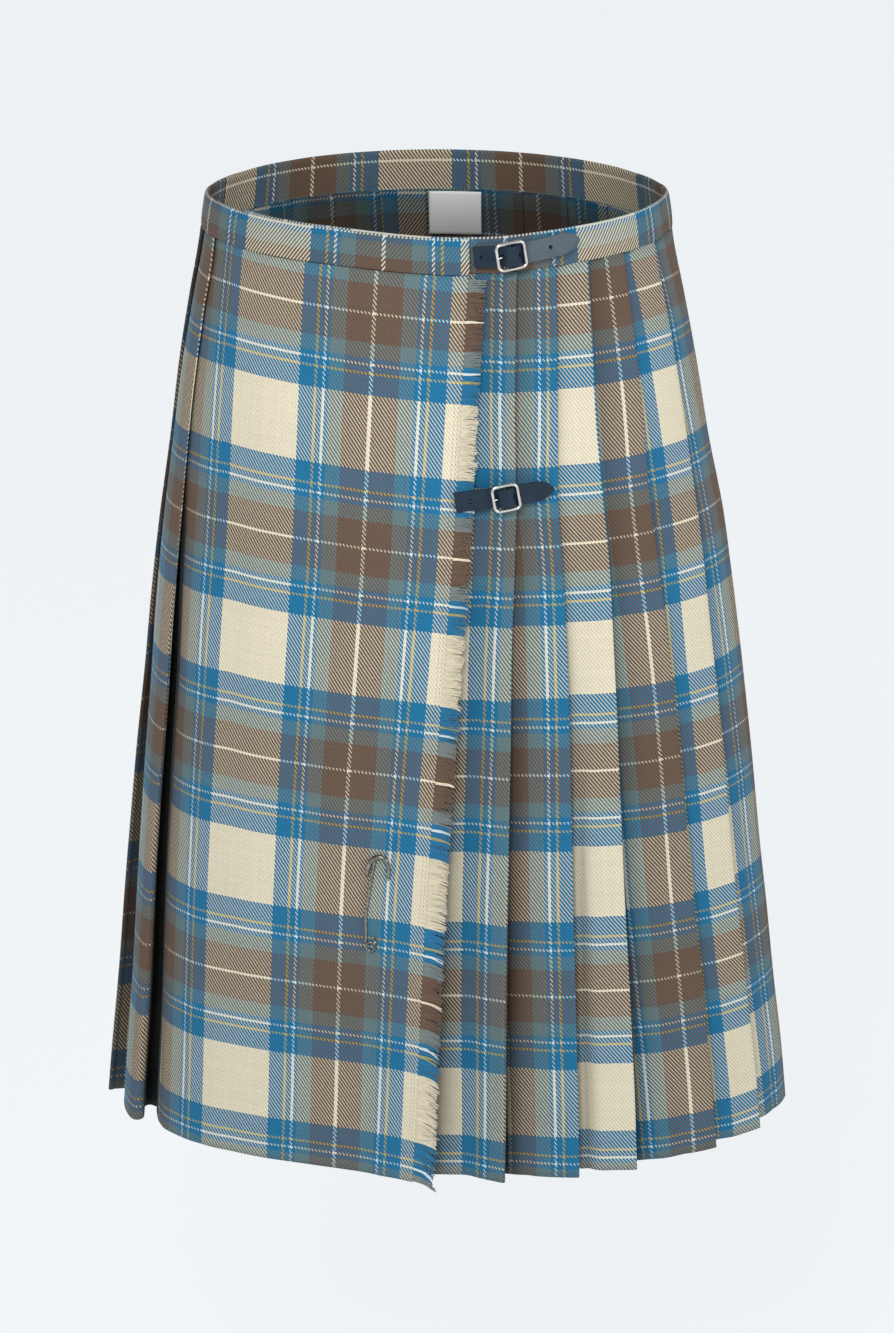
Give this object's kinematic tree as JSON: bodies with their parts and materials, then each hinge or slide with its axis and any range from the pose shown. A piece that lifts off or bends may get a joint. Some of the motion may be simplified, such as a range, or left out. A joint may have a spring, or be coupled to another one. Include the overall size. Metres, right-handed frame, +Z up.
{
  "type": "kilt skirt",
  "caption": "Knee-length pleated tartan kilt skirt in its hollow worn form, with a flat fringed front apron, waistband, leather buckle straps and a pin.",
  "frame": {"origin": "centre of the waistband's top opening, where a wearer's waist holds the skirt", "axes": "+Z up, the front apron faces -Y, +X is the viewer's right, the wearer's left"},
  "size_m": [0.4315, 0.2622, 0.5878],
  "materials": {
    "tartan": "matte wool twill in a blue, brown and cream check",
    "fringe": "loose wool weft ends",
    "leather": "smooth navy leather, matte",
    "nickel": "satin nickel plate",
    "satin": "blank woven satin"
  },
  "bodies": {
    "root": {"over_apron": "tartan", "under_apron": "tartan", "pleats_right": "tartan", "pleats_back": "tartan", "pleats_left": "tartan", "waistband_over": "tartan", "waistband_under": "tartan", "fringe": "fringe", "strap_waist": "leather", "tab_waist": "leather", "buckle_waist": "nickel", "strap_hip": "leather", "tab_hip": "leather", "buckle_hip": "nickel", "kilt_pin": "nickel", "label": "satin"}
  },
  "joints": []
}
